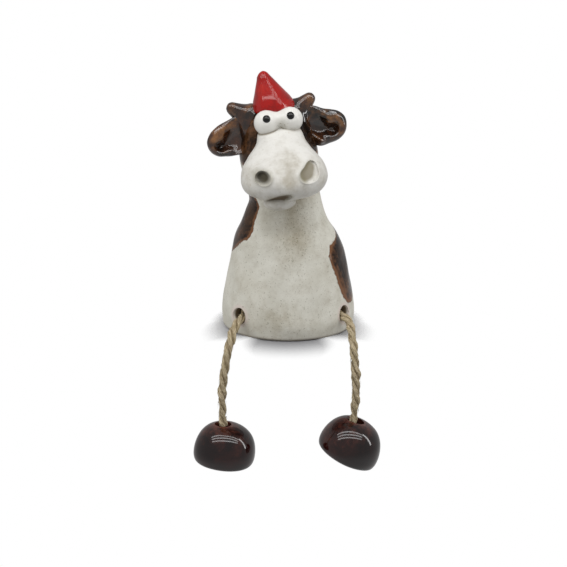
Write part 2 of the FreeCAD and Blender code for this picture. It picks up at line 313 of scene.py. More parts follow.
def strands(line, start, seed, reference, slubs):
    """Three strands laid round a line, as a list of grids.

    A strand's centre turns about the line once in each pitch, half the rope's radius out from it, and
    its section is a circle of half the rope's radius whose size wavers along the rope. The reference
    says where the turning is counted from. Each end is drawn to a pole.
    """
    along = start + way_along(line)
    forward = np.gradient(line, axis=0)
    forward /= np.linalg.norm(forward, axis=1)[:, None]
    aside = reference - forward * (forward * reference).sum(axis=1)[:, None]
    aside /= np.linalg.norm(aside, axis=1)[:, None]
    across = np.cross(forward, aside)
    turn = np.pi + np.linspace(0, 2 * np.pi, strand_columns, endpoint=False)
    grids = []
    for strand in range(3):
        lay = -2 * np.pi * (along / rope_pitch + strand / 3)
        out = np.cos(lay)[:, None] * aside + np.sin(lay)[:, None] * across
        flank = np.cross(forward, out)
        waver = 1 + strand_waver * lumps(along[:, None] * [1, 0, 0], strand_wave, seed + strand)
        for height, swell in slubs:
            waver = waver + swell * hump(line[:, 2], height * mm, slub_length)
        thick = rope_diameter / 2 * strand_share * waver
        centre = line + out * (rope_diameter / 2 * (1 - strand_share) * waver)[:, None]
        rim = np.cos(turn)[None, :, None] * out[:, None] + np.sin(turn)[None, :, None] * flank[:, None]
        grid = centre[:, None] + thick[:, None, None] * rim
        grid += rim * (tuft * thick[:, None] * lumps(grid * [1, 1, 0.5], tuft_wave, seed))[..., None]
        ends = [np.repeat(centre[i][None, None], strand_columns, axis=1) for i in (0, -1)]
        grids.append(np.concatenate([ends[0], grid, ends[1]]))
    return grids


def fluff(line, count, seed):
    """Loose fibres that stand off a rope: three-sided quills, each bent in a quarter wave, as grids."""
    draw = np.random.RandomState(seed)
    t = np.linspace(0, 1, 6)[:, None]
    turn = np.linspace(0, 2 * np.pi, 3, endpoint=False)
    grids = []
    for place in draw.randint(4, len(line) - 5, count):
        forward = line[place + 2] - line[place - 2]
        forward /= np.linalg.norm(forward)
        side = np.cross(forward, draw.normal(size=3))
        side /= np.linalg.norm(side)
        long = draw.uniform(*fibre_lengths) * mm
        lift = draw.uniform(*fibre_lifts) * mm
        arch = fibre_root * rope_diameter + lift * np.sin(t * np.pi / 2)
        spine = line[place] + side * arch + forward * long * (t - 0.5)
        ring = np.cos(turn)[:, None] * side + np.sin(turn)[:, None] * np.cross(forward, side)
        grids.append(spine[:, None] + fibre_radius * (1.1 - t)[:, None] * ring)
    return grids


def make_rope(name, line, start, seed, reference, loose, slubs=()):
    """A stretch of rope as one piece, which keeps each point's turn round its strand and its way along."""
    grids = strands(line, start, seed, reference, slubs) + fluff(line, loose, seed)
    rope = skin(name, grids, sharp=180)
    around = []
    along = []
    for grid in grids:
        rows, columns = grid.shape[:2]
        row, column = np.indices((rows, columns))
        kept = (column == 0) | ((row > 0) & (row < rows - 1))
        around.append((column / columns)[kept])
        along.append((start + row * rope_step)[kept])
    paint(rope, strand_turn=np.concatenate(around), strand_along=np.concatenate(along))
    wear(rope, jute_material)
    return rope


def jute():
    """Pale bast fibres drawn out along each strand, with painted shade in the hollows between the strands."""
    material, tree, shader = new_material("jute_fibre", 0.85, 0.2)
    turn = attribute(tree, "strand_turn")
    along = attribute(tree, "strand_along")
    crest = calc(tree, "ABSOLUTE", calc(tree, "SUBTRACT", turn, 0.5))
    slant = calc(tree, "MULTIPLY_ADD", along, 130.0, calc(tree, "MULTIPLY", turn, 26.0))
    grain = add(tree, "CombineXYZ", {0: slant, 1: calc(tree, "MULTIPLY", along, 260.0)}).outputs[0]
    fine = noise(tree, 1.0, 5.0, 0.7, grain)
    broad = noise(tree, 150.0, 3.0, 0.6)
    base = tint(tree, rising(tree, fine, 0.38, 0.6), colour(jute_dark), colour(jute_light))
    base = stain(tree, base, rising(tree, broad, 0.45, 0.7), 0.5, jute_olive)
    # Painted shade: each strand darkens away from its crest, into the hollows between the strands.
    base = stain(tree, base, rising(tree, crest, 0.14, 0.34), 0.7, jute_dark, "MULTIPLY")
    join(tree, shader, Base_Color=base)
    raise_bumps(tree, shader, fine, jute_relief)
    return material


jute_material = jute()
sideways = np.array([1.0, 0.0, 0.0])
for number, side in enumerate(sides):
    corners = rope_corners(side)
    corners[-1] += np.array(end_shift[side]) * mm
    line = smooth_line(side + "_route", corners)
    edge = int(np.argmax(line[:, 2] < 0))
    upper = line[:edge + 1]
    lower = line[edge:]
    bend_from = upper[np.argmax(upper[:, 2] < bend_height)]
    bend_to = lower[np.argmax(lower[:, 2] < hang_height)]
    for name, path, begun, node, bodies, start, end in (
            ("_rope_upper", upper, 0.0, "_rope_bend", ("root", side + "_hip"), bend_from, upper[-1]),
            ("_rope_lower", lower, edge * rope_step, "_rope_drop", (side + "_hip", side + "_leg"),
             lower[0], bend_to)):
        rope = make_rope(side + name, path, begun, 10 * number + 3, sideways, len(path), rope_slubs[side])
        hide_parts(side + node)
        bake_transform(rope)

# Knots
# The same rope is tied in an overhand knot at each end: one behind the wall of the bell stops it
# there, and one in the recess under the hoof carries the hoof.
end_knot_radius = 6.2 * mm
knot_unit = 1.25 * mm
stem_gap = 1.2 * mm


def knot_line(centre, unit):
    """An overhand knot's line: a ring that goes round twice while it rises and falls three times."""
    t = np.linspace(0.15, 2 * np.pi - 0.15, 150)
    x = np.sin(t) + 2 * np.sin(2 * t)
    z = np.cos(t) - 2 * np.cos(2 * t)
    return centre + unit * np.column_stack([x, -1.3 * np.sin(3 * t), z])


for number, side in enumerate(sides):
    centre = rope_corners(side)[0]
    line = knot_line(centre, knot_unit)
    knot = make_rope(side + "_inner_tie", line, 0.0, 31 + number, line - centre, 12)
    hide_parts(side + "_inner_knot")
    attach(knot, "root")
    low, high = (np.array(corner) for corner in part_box(side + "_end_knot"))
    centre = (low + high) / 2
    centre[2] = low[2] + end_knot_radius
    line = knot_line(centre, knot_unit)
    rise = np.linspace(0, 1, 60)[:, None] * [0, 0, high[2] - centre[2] - stem_gap]
    tie = make_rope(side + "_end_tie", line, 0.0, 41 + number, line - centre, 12)
    stem = make_rope(side + "_end_stem", centre + rise, 0.0, 51 + number, sideways, 4)
    for piece in (tie, stem):
        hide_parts(side + "_end_knot")
        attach(piece, side + "_ankle")

# Hooves
# Each hoof is a solid dome of clay that is bored and glazed a maroon near to black. It leans on its
# rope, and a wide recess under it takes the knot.
hoof_radius = 19.6 * mm
hoof_height = 25.5 * mm
hoof_profile = ((0, 0), (0.5, 0), (0.78, 0), (0.87, 0.01), (0.945, 0.055), (0.99, 0.15), (1, 0.29),
                (0.955, 0.5), (0.84, 0.7), (0.64, 0.87), (0.38, 0.965), (0, 1))
hoof_tilts = {"left": 6, "right": 25}
hoof_unevenness = 0.3 * mm
hoof_wave = 26.0 * mm
hoof_drop = 2 / 3
hoof_bore = 5.0 * mm
bore_rounding = 0.5 * mm
bore_rim = ((0, -2.4), (0.15, -1.2), (0.6, -0.1), (1.6, 1.6))
hoof_recess = 8.0 * mm
recess_rounding = 0.8 * mm
recess_flare = 0.6 * mm
knot_seat = 4.12 * mm
cut_overrun = 2.0 * mm
hoof_deep = "#120404"
hoof_body = "#2A0C09"
hoof_thin = "#5C3024"
hoof_relief = 0.012 * mm


def flow(t, knots, values, first=None, last=None):
    """A smooth curve through values at knots: cubic pieces whose slopes come from the values' differences."""
    knots = np.asarray(knots, float)
    values = np.asarray(values, float)
    slopes = np.gradient(values, knots)
    slopes[0] = slopes[0] if first is None else first
    slopes[-1] = slopes[-1] if last is None else last
    i = np.clip(np.searchsorted(knots, t) - 1, 0, len(knots) - 2)
    width = knots[i + 1] - knots[i]
    s = (t - knots[i]) / width
    ends = (1 + 2 * s) * (1 - s) ** 2 * values[i] + s ** 2 * (3 - 2 * s) * values[i + 1]
    return ends + width * (s * (1 - s) ** 2 * slopes[i] + s ** 2 * (s - 1) * slopes[i + 1])


def traced(points, count):
    """Even steps along the smooth curve through a list of points, by distance between them."""
    points = np.array(points, float)
    knots = way_along(points)
    even = np.linspace(0, knots[-1], count)
    return [flow(even, knots, points[:, i]) for i in range(points.shape[1])]


def spun(radii, heights, columns):
    """A surface of revolution about Z as a grid, column 0 at the front."""
    turn = np.linspace(0, 2 * np.pi, columns, endpoint=False)
    radii = np.asarray(radii)[:, None]
    heights = np.asarray(heights)[:, None]
    return np.stack([radii * np.sin(turn), -radii * np.cos(turn), heights + 0 * turn], axis=-1)


def facing(grid):
    """The unit normal at each point of a grid of rings: the cross product of the steps across and down."""
    across = np.roll(grid, -1, 1) - np.roll(grid, 1, 1)
    down = np.gradient(grid, axis=0)
    normal = np.cross(across, down)
    normal /= np.maximum(np.linalg.norm(normal, axis=-1, keepdims=True), 1e-12)
    return normal


def kneaded(grid, depth, wavelength, seed, drop):
    """The grid moved out along its normals, by depth times the clay's lumps less a drop."""
    return grid + facing(grid) * (depth * (lumps(grid, wavelength, seed) - drop))[..., None]


def closed(grid):
    """The grid with each end row drawn to its middle."""
    grid[0] = grid[0].mean(axis=0)
    grid[-1] = grid[-1].mean(axis=0)
    return grid


def ramp(values, start, end):
    """0 before start, 1 past end and a straight line between them, where start may be the larger."""
    return np.clip((values - start) / (end - start), 0, 1)


def rotation(degrees, axis):
    """The matrix that turns by degrees about an axis."""
    return np.array(Matrix.Rotation(math.radians(degrees), 3, axis))


def bored(piece, cutters):
    """The piece less its cutters, as a finished mesh. The cutters are removed."""
    for cutter in cutters:
        cut = piece.modifiers.new("cut", "BOOLEAN")
        cut.operation = "DIFFERENCE"
        cut.solver = "EXACT"
        cut.object = cutter
    bpy.context.view_layer.update()
    graph = bpy.context.evaluated_depsgraph_get()
    mesh = bpy.data.meshes.new_from_object(piece.evaluated_get(graph))
    piece.modifiers.clear()
    piece.data = mesh
    shade(mesh, 50)
    for cutter in cutters:
        bpy.data.objects.remove(cutter)


def new_group(name, inputs, outputs):
    """An empty node group with number inputs, and colour or number outputs."""
    tree = bpy.data.node_groups.new(name, "ShaderNodeTree")
    for socket in inputs:
        tree.interface.new_socket(socket, in_out="INPUT", socket_type="NodeSocketFloat")
    for socket in outputs:
        kind = "NodeSocketColor" if socket == "Color" else "NodeSocketFloat"
        tree.interface.new_socket(socket, in_out="OUTPUT", socket_type=kind)
    return tree, tree.nodes.new("NodeGroupInput"), tree.nodes.new("NodeGroupOutput")


def give(tree, sink, **outputs):
    """Feeds outputs into a group's own sockets."""
    for key, value in outputs.items():
        tree.links.new(value, sink.inputs[key])


def stirred(tree, value, cloud, amount):
    """A value that noise pushes up and down, by half the amount at most."""
    return calc(tree, "MULTIPLY_ADD", calc(tree, "SUBTRACT", cloud, 0.5), amount, value)


def glaze_group(name, deep, body, thin, ripple):
    """A pooled glaze: deepest where it gathers, lighter and clearer where Thin says that it ran off."""
    tree, source, sink = new_group(name, ("Thin",), ("Color", "Height", "Roughness"))
    cloudy = noise(tree, 55.0, 4.0, 0.6, distortion=0.6)
    streaks = noise(tree, 320.0, 3.0, 0.6)
    specks = noise(tree, 1500.0, 2.0, 0.5)
    base = tint(tree, rising(tree, cloudy, 0.38, 0.66), colour(deep), colour(body))
    edge = stirred(tree, stirred(tree, source.outputs["Thin"], cloudy, 1.1), streaks, 1.3)
    base = tint(tree, rising(tree, edge, 0.15, 1.15), base, colour(thin))
    base = stain(tree, base, rising(tree, specks, 0.66, 0.74), 0.35, thin)
    height = calc(tree, "MULTIPLY_ADD", streaks, ripple, cloudy)
    give(tree, sink, Color=base, Height=height, Roughness=calc(tree, "MULTIPLY_ADD", streaks, 0.08, 0.05))
    return tree


def glazed(name, group, relief, gloss):
    """A material that is wholly one glaze. Its piece keeps an attribute named thin."""
    material, tree, shader = new_material(name, gloss=gloss)
    look = add(tree, "Group", {"Thin": attribute(tree, "thin")}, node_tree=group).outputs
    join(tree, shader, Base_Color=look["Color"], Roughness=look["Roughness"])
    raise_bumps(tree, shader, look["Height"], relief)
    return material


maroon_glaze = glaze_group("maroon_glaze", hoof_deep, hoof_body, hoof_thin, 0.03)
hoof_material = glazed("hoof_glaze", maroon_glaze, hoof_relief, 0.6)
radii, heights = traced(hoof_profile, 130)
for number, side in enumerate(sides):
    grid = spun(radii * hoof_radius, heights * hoof_height, 220)
    grid = closed(kneaded(grid, hoof_unevenness, hoof_wave, 61 + number, hoof_drop))
    grid = grid @ rotation(hoof_tilts[side], "Y").T
    low, high = (np.array(corner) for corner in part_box(side + "_hoof"))
    grid += (low + high) / 2 - (grid.min(axis=(0, 1)) + grid.max(axis=(0, 1))) / 2
    hoof = skin(side + "_hoof_clay", [grid])
    pivot = rope_corners(side)[-1]
    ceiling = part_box(side + "_end_knot")[0][2] + end_knot_radius + knot_seat
    below = low[2] - cut_overrun
    above = high[2] + 2 * cut_overrun
    mouth = [(hoof_bore + out * mm, pivot[2] + up * mm) for out, up in bore_rim]
    wall = [(0, below), (hoof_recess + recess_flare, below),
            (hoof_recess + recess_flare / 3, low[2] + cut_overrun), (hoof_recess, low[2] + 2 * cut_overrun),
            (hoof_recess, ceiling - recess_rounding), (hoof_recess - recess_rounding, ceiling),
            (hoof_bore + bore_rounding, ceiling), (hoof_bore, ceiling + bore_rounding), *mouth,
            (mouth[-1][0], above), (0, above)]
    cut = spun(*np.transpose(wall), 64) + [pivot[0], pivot[1], 0]
    bored(hoof, [skin("cutter", [cut])])
    places = places_of(hoof.data)
    from_bore = np.hypot(places[:, 0] - pivot[0], places[:, 1] - pivot[1]) / mm
    rim = hump(from_bore, 5.6, 1.1) * (places[:, 2] > pivot[2] - 1.5 * cut_overrun)
    paint(hoof, thin=0.45 * rim + 0.75 * ramp(places[:, 2], low[2], high[2]) ** 2 - 0.1)
    wear(hoof, hoof_material)
    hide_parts(side + "_hoof")
    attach(hoof, side + "_foot")

# Body
# A bell of pinched stoneware, 5 mm thick and open below. Its clay is bare and speckled, with a few
# patches of brown glaze, and its two leg holes have rims smoothed by a wet finger.
body_height = 84.0 * mm
neck_radius = 22.3 * mm
neck_slope = -0.15
neck_lean = 2.6 * mm
head_roll = 7.5
head_yaw = 5.0
bell_profile = ((0, 0.984, 0), (0.1, 1, 0), (0.2, 0.986, 0), (0.3, 0.957, 0), (0.4, 0.914, 0),
                (0.5, 0.871, 0), (0.6, 0.829, 0.05), (0.7, 0.764, 0.35), (0.8, 0.656, 0.70),
                (0.9, 0.580, 0.85), (1, neck_radius / foot_radius, 1))
bell_columns = 360
foot_rounding = 2.4 * mm
even_height = 8.0 * mm
clay_unevenness = 0.42 * mm
clay_wave = 19.0 * mm
clay_seed = 7
clay_drop = 0.4
clay_relief = 0.45 * mm
hole_sink = 0.3 * mm
hole_profile = ((0, -9), (5.1, -9), (5.0, -6), (4.9, -3.5), (4.95, -2), (5.15, -1), (5.7, -0.1), (6.8, 1.2),
                (6.8, 6), (0, 6))
patch_mm = 40.0
left_patch = ((-54, 84), (-47, 79.8), (-48, 75.4), (-50, 71), (-47, 65.1), (-48, 60.9), (-59, 57.3),
              (-74, 51.1), (-92, 46), (-112, 50), (-125, 60), (-128, 72), (-122, 84), (-105, 90), (-80, 92),
              (-60, 88))
right_patch = ((97, 63.5), (83, 61.5), (67, 58.2), (51, 55.2), (46, 50.1), (48, 42.8), (52, 36.7), (54, 29.3),
               (58, 22.9), (65, 17.7), (76, 17.4), (90, 21.4), (104, 30), (116, 42), (122, 54), (118, 64),
               (110, 67))
back_patch = ((166, 44), (176, 38), (190, 41), (199, 52), (196, 66), (184, 72), (170, 66), (163, 55))
low_patch = ((214, 14), (226, 10), (240, 15), (243, 27), (234, 35), (220, 33), (211, 24))
patch_stray = 4.5
patch_wave = 24.0 * mm
unglazed = -8.0
clay_light = "#EBE9DE"
clay_mid = "#DCD9CC"
clay_warm = "#A79C84"
speck_dark = "#7A6C50"
speck_olive = "#8A8468"
rim_pink = "#E6D8CF"
foot_brown = "#6E5B43"
glaze_deep = "#120A06"
glaze_brown = "#402915"
glaze_amber = "#80573A"


def leaning_rings(centres, radii, tilts, turn):
    """Circles about a leaning axis, each turned about Y by its row's tilt."""
    tilts = tilts[:, None]
    rings = [np.sin(turn) * np.cos(tilts), -np.cos(turn) + 0 * tilts, -np.sin(turn) * np.sin(tilts)]
    return centres[:, None] + radii[:, None, None] * np.stack(rings, axis=-1)


def aimed(grid, direction):
    """The grid turned so that its own Z axis points in a direction."""
    return grid @ np.array(Vector(direction).to_track_quat("Z", "Y").to_matrix()).T


def inside_by(points, outline):
    """How far each point lies inside a closed outline: the distance to its nearest side, negative outside."""
    first = np.array(outline, float)
    second = np.roll(first, -1, axis=0)
    side = second - first
    reach = points[:, None] - first
    share = np.clip((reach * side).sum(-1) / (side ** 2).sum(-1), 0, 1)
    distance = np.linalg.norm(reach - share[..., None] * side, axis=-1).min(axis=1)
    x, y = points[:, :1], points[:, 1:]
    spans = (first[:, 1] > y) != (second[:, 1] > y)
    rise = np.where(np.abs(side[:, 1]) < 1e-9, 1e-9, side[:, 1])
    beyond = x < side[:, 0] * (y - first[:, 1]) / rise + first[:, 0]
    return np.where((spans & beyond).sum(axis=1) % 2 == 1, distance, -distance)


def patch(bearings, heights, outline, cuts=0):
    """A glaze patch's depth in mm, where bearings become distances on a bell of mean radius.

    Each cut takes every corner of the outline off at a quarter of its sides, which rounds it.
    """
    scale = np.array([math.radians(patch_mm), 1.0])
    corners = np.array(outline) * scale
    for _ in range(cuts):
        following = np.roll(corners, -1, axis=0)
        corners = np.stack([0.75 * corners + 0.25 * following, 0.25 * corners + 0.75 * following], axis=1)
        corners = corners.reshape(-1, 2)
    return inside_by(np.column_stack([bearings, heights]) * scale, corners)


def smoother(a, b, width):
    """The larger of two depths, with a parabola over the width in which they cross."""
    blend = np.clip(0.5 + 0.5 * (a - b) / width, 0, 1)
    return b + (a - b) * blend + width * blend * (1 - blend)


def speckle_group():
    """Iron specks in a clay or glaze: Fine and Coarse ones, as masks, and Cloud for broad changes of tone."""
    tree, source, sink = new_group("iron_specks", ("Amount",), ("Fine", "Coarse", "Cloud"))
    more = calc(tree, "MULTIPLY", source.outputs["Amount"], 0.1)
    fine = calc(tree, "ADD", noise(tree, 1350.0, 2.0, 0.5), more)
    coarse = calc(tree, "ADD", noise(tree, 560.0, 3.0, 0.55), more)
    give(tree, sink, Fine=rising(tree, fine, 0.66, 0.74), Coarse=rising(tree, coarse, 0.67, 0.73),
         Cloud=noise(tree, 42.0, 4.0, 0.6))
    return tree


def fired_clay(name):
    """Bare speckled clay where the glaze mask is below 0 mm, and brown glaze with an amber edge above it."""
    material, tree, shader = new_material(name, gloss=0.25)
    dusty = attribute(tree, "dusty")
    specks = add(tree, "Group", {"Amount": dusty}, node_tree=specks_group).outputs
    clay = tint(tree, rising(tree, specks["Cloud"], 0.35, 0.65), colour(clay_mid), colour(clay_light))
    # Where this mask is high the clay is warmer and darker: dirt, and painted shade under the muzzle and
    # inside the bell.
    mottle = stirred(tree, dusty, noise(tree, 95.0, 5.0, 0.7), 1.8)
    clay = tint(tree, rising(tree, mottle, -0.1, 1.3), clay, colour(clay_warm))
    clay = stain(tree, clay, attribute(tree, "rim"), 0.8, rim_pink)
    # Darker brown at the very bottom edge of the bell, and painted shade inside the leg holes.
    clay = tint(tree, attribute(tree, "foot"), clay, colour(foot_brown))
    clay = stain(tree, clay, specks["Coarse"], 0.45, speck_olive)
    clay = stain(tree, clay, specks["Fine"], 0.6, speck_dark)
    ragged = stirred(tree, attribute(tree, "glaze"), noise(tree, 260.0, 4.0, 0.6), 3.4)
    cover = rising(tree, ragged, -0.25, 0.35)
    run_off = calc(tree, "ADD", attribute(tree, "run"), 1.0)
    thin = calc(tree, "SUBTRACT", run_off, rising(tree, ragged, -0.5, 4.0))
    look = add(tree, "Group", {"Thin": thin}, node_tree=brown_glaze).outputs
    matte = calc(tree, "MULTIPLY_ADD", specks["Cloud"], 0.25, 0.5)
    rough = add(tree, "MapRange", {0: cover, 3: matte, 4: look["Roughness"]}).outputs[0]
    join(tree, shader, Base_Color=tint(tree, cover, clay, look["Color"]), Roughness=rough)
    grain = calc(tree, "MULTIPLY_ADD", noise(tree, 900.0, 4.0, 0.6), 0.12, calc(tree, "MULTIPLY", cover, 0.5))
    raise_bumps(tree, shader, calc(tree, "MULTIPLY_ADD", look["Height"], cover, grain), clay_relief)
    return material


specks_group = speckle_group()
brown_glaze = glaze_group("brown_glaze", glaze_deep, glaze_brown, glaze_amber, 0.5)
height_shares, radius_shares, lean_shares = np.array(bell_profile).T
# The bell is rings about its leaning axis, up the outside from a rounded foot and down the inside.
turn = np.linspace(0, 2 * np.pi, bell_columns, endpoint=False)
share = np.concatenate([np.linspace(foot_rounding / body_height, 0.9, 170), np.linspace(0.9, 1, 28)[1:]])
radii = foot_radius * flow(share, height_shares, radius_shares, last=neck_slope)
top_lean = math.tan(math.radians(head_roll)) * body_height / neck_lean
lean = flow(share, height_shares, lean_shares, last=top_lean)
tilts = -math.radians(head_roll) * ramp(share, 0.78, 1) ** 2
centres = np.column_stack([-neck_lean * lean, 0 * share, share * body_height])
arc = np.linspace(0, np.pi / 2, 9)[:-1]
foot_reach = radii[0] - foot_rounding * (1 - np.sin(arc))
foot_centres = np.column_stack([0 * arc, 0 * arc, foot_rounding * (1 - np.cos(arc))])
outer_centres = np.concatenate([foot_centres, centres])
outer_radii = np.concatenate([foot_reach, radii])
outer_tilts = np.concatenate([0 * arc, tilts])
outer = leaning_rings(outer_centres, outer_radii, outer_tilts, turn)
out = leaning_rings(0 * outer_centres, 1 + 0 * outer_radii, outer_tilts, turn)
uneven = np.clip(outer[..., 2] / even_height, 0.15, 1) * clay_unevenness
outer = outer + out * (uneven * (lumps(outer, clay_wave, clay_seed) - clay_drop))[..., None]
within = leaning_rings(centres, radii - clay_wall, tilts, turn)[::-6]
within[-1, :, 2] = 0
body = skin("body_bell", [np.concatenate([outer, within])], loop=True)
cutters = []
for side in sides:
    axis = bearing(hole_bearings[side])
    cut = aimed(spun(*np.array(hole_profile).T * mm, 72), axis)
    cutters.append(skin("cutter", [cut + axis * (foot_radius - hole_sink) + [0, 0, hole_height]]))
bored(body, cutters)
places = places_of(body.data)
up = np.clip(places[:, 2] / body_height, 0, 1)
off_axis = places[:, :2] + np.column_stack([neck_lean * flow(up, height_shares, lean_shares), 0 * up])
mid_wall = foot_radius * flow(up, height_shares, radius_shares) - clay_wall / 2
inner = np.linalg.norm(off_axis, axis=1) < mid_wall
x, y, z = places.T / mm
bearings = np.degrees(np.arctan2(x, -y))
around = bearings % 360
astray = patch_stray * lumps(places, patch_wave, 37)
glaze = smoother(patch(bearings, z, left_patch), patch(bearings, z, right_patch), 2.0)
glaze = np.maximum(glaze, patch(around + astray, z + astray, back_patch, cuts=2))
glaze = np.maximum(glaze, patch(around - astray, z + astray, low_patch, cuts=2))
rim = 0 * x
soot = 0 * x
for side in sides:
    axis = bearing(hole_bearings[side])
    off = places - [0, 0, hole_height]
    off -= (off @ axis)[:, None] * axis
    from_hole = np.linalg.norm(off, axis=1) / mm
    outward = places @ axis > foot_radius - 1.2 * clay_wall
    rim = np.maximum(rim, hump(from_hole, 6.1, 1.3) * outward)
    # Painted shade over the wall inside each leg hole.
    soot = np.maximum(soot, outward * (from_hole < 5.05) * 0.9)
run = 0.6 * hump(bearings, 52, 10) * ramp(z, 62, 54) + 0.5 * hump(z, 24, 9) * (bearings > 0)
run += 0.3 * hump(bearings, -50, 6) + 0.2 * hump(z, 62, 5) * (bearings < 0)
# Dirt and painted shade on the neck's front under the muzzle, a darker low front, and painted shade over the
# inside of the bell.
neck_dust = 0.48 * hump(x, 3, 10) * ramp(z, 36, 60) * (y < 0)
low_dust = 0.35 * hump(x, -6, 14) * hump(z, 14, 10) * (y < 0)
dusty = np.clip(0.15 + neck_dust + low_dust, 0, 1) + 0.9 * inner
foot = np.maximum(0.6 * hump(np.maximum(z, 0), 0, 1.6), soot)
paint(body, glaze=np.where(inner, unglazed, glaze), rim=rim, run=run, dusty=dusty, foot=foot)
wear(body, fired_clay("body_clay"))
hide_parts("body_shell")
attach(body, "root")

# Head
# A hollow ball luted on the bell's neck. It leans to the viewer's left and is glazed brown from its
# crown to below its ears, where the glaze ends and the bare clay goes on into the neck.
head_radius = 24.4 * mm
head_height = 60.0 * mm
crown_height = 0.93
crown_radius = 0.485
head_profile = ((0, neck_radius / head_radius), (0.14, 0.935), (0.28, 0.978), (0.42, 1), (0.55, 0.98),
                (0.67, 0.91), (0.77, 0.805), (0.86, 0.66), (crown_height, crown_radius),
                (0.98, 0.255), (1, 0))
head_turn = rotation(-head_roll, "Y") @ rotation(head_yaw, "Z")
neck_joint = np.array([-neck_lean, 0, body_height])
glaze_foot = 108.0
run_wave = 14.0 * mm


def on_head(points):
    """Carries points in mm from the head's own frame to the cow's, in metres."""
    return points * mm @ head_turn.T + neck_joint


def from_head(places):
    """Points of the cow in the head's own frame, in mm."""
    return (places - neck_joint) @ head_turn / mm


def wavy_foot(x):
    """The height in mm at which the head's glaze ends: a slope up to the right with two sine waves on it."""
    return glaze_foot + 2.2 * x / 24 + 1.2 * np.sin(x / 3.1 + 0.7) + 0.8 * np.sin(x / 1.3)


# The ball is its profile turned about the head's axis. The profile ends over the crown in an arc.
shares, sizes = np.array(head_profile).T
crown_rise = 1 - crown_height
arc_rows = crown_height + crown_rise * np.sin(np.linspace(0, np.pi / 2, 40))[1:]
heights = np.concatenate([np.linspace(0, crown_height, 130), arc_rows])
radii = flow(heights, shares, sizes, first=neck_slope * head_height / head_radius * foot_radius / body_height)
crown = heights > crown_height
up_crown = (heights[crown] - crown_height) / crown_rise
radii[crown] = crown_radius * np.sqrt(np.maximum(1 - up_crown ** 2, 0)) ** 0.97
shell = on_head(spun(radii * head_radius / mm, heights * head_height / mm, bell_columns))
shell = kneaded(shell, clay_unevenness, clay_wave, clay_seed, clay_drop)
shell[-1] = shell[-1].mean(axis=0)
inner_radii = radii[::-5] * (head_radius - clay_wall) / mm
inner_heights = heights[::-5] * (head_height - clay_wall) / mm
inward = on_head(spun(inner_radii, inner_heights, bell_columns))
head = skin("head_ball", [np.concatenate([shell[::-1], inward[::-1]])])
places = places_of(head.data)
x, y, z = places.T / mm
glaze = np.maximum(z - wavy_foot(x), patch(np.degrees(np.arctan2(x, -y)), z, left_patch))
run = 0.25 + 0.25 * lumps(places, run_wave, 29)
paint(head, glaze=glaze, dusty=0.2, rim=0, run=run, foot=0)
wear(head, fired_clay("head_glaze"))
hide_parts("head_shell")
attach(head, "root")

# Horns
# Two rolled stubs of clay with blunt tips, luted on the crown. The wet clay is smeared down round
# their roots, and they are glazed brown like the head.
horn_length = 17.0
horn_base = 5.8
horn_spread = 12.0
horn_level = 50.6
horn_rise = math.radians(31)
horn_profile = ((0, 1.5), (0.2, 1.3), (0.35, 1.02), (0.5, 0.85), (0.7, 0.7), (0.87, 0.58),
                (0.96, 0.38), (1, 0))
horn_unevenness = 0.05
horn_wave = 9.0 * mm
horn_web = 1.5
horn_shift = {"left": (-1.2, 0, 0.9), "right": (0, 0, 0)}
ear_brown = "#4A2814"
ear_gold = "#8C5E32"
brown_relief = 0.2 * mm
amber_glaze = glaze_group("amber_glaze", glaze_deep, ear_brown, ear_gold, 0.3)
brown_material = glazed("horn_and_ear_glaze", amber_glaze, brown_relief, 0.9)
# A horn is its profile turned about its axis, swollen below towards its root, which makes the web.
for number, (side, sign) in enumerate(zip(sides, (-1, 1))):
    along, sizes = traced(horn_profile, 60)
    grid = spun(np.maximum(sizes, 0) * horn_base, along * horn_length, 90)
    grid = closed(np.concatenate([grid[:1] * [0, 0, 1], grid]))
    grid[..., :2] *= (1 + horn_unevenness * lumps(grid * mm, horn_wave, 71 + number))[..., None]
    axis = np.array([sign * math.cos(horn_rise), 0, math.sin(horn_rise)])
    grid = aimed(grid, axis)
    t = np.clip(grid @ axis / horn_length, 0, 1)[..., None]
    radial = grid - t * horn_length * axis
    size = np.maximum(np.linalg.norm(radial, axis=-1, keepdims=True), 1e-9)
    below = np.clip(-radial[..., 2:] / size, 0, 1)
    grid = t * horn_length * axis + radial * (1 + horn_web * below ** 2 * (1 - t) ** 1.3)
    root = np.array([sign * horn_spread, 0, horn_level]) + horn_shift[side]
    horn = skin(side + "_horn_stub", [on_head(grid + root)])
    t = (from_head(places_of(horn.data)) - root) @ axis / horn_length
    paint(horn, thin=0.5 * hump(t, 0.8, 0.25) + 0.35 * hump(t, 0.3, 0.15))
    wear(horn, brown_material)
    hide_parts(side + "_horn")
    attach(horn, "root")

# Ears
# Thumbed paddles luted on at the head's sides. The rim is pinched up round the thumb's hollow, and
# the glaze runs thin and amber along it.
ear_spread = 30.4
ear_reach = 3.0
ear_level = 39.8
ear_thickness = 5.4
ear_section = ((0, 0.12), (0.22, 0.04), (0.38, -0.16), (0.5, -0.42), (0.6, -0.64), (0.7, -0.74),
               (0.83, -0.64), (0.95, -0.34), (1, 0), (0.97, 0.3), (0.85, 0.6), (0.6, 0.85),
               (0.3, 0.97), (0, 1))
ear_outlines = {
    "left": ((-100, 10.4), (-71, 11.0), (-40, 14.0), (0, 16.0), (28, 18.0), (55, 16.5), (80, 12.2),
             (121, 10.4), (156, 11.5), (182, 12.8), (208, 12.8), (233, 11.8), (260, 10.4)),
    "right": ((-116, 13.0), (-79, 11.4), (-47, 12.6), (-24, 13.6), (-4, 13.9), (16, 13.9), (38, 12.6),
              (64, 10.8), (90, 11.0), (122, 16.0), (150, 18.0), (200, 16.0), (244, 13.0)),
}
ear_troughs = {"left": 24, "right": 158}
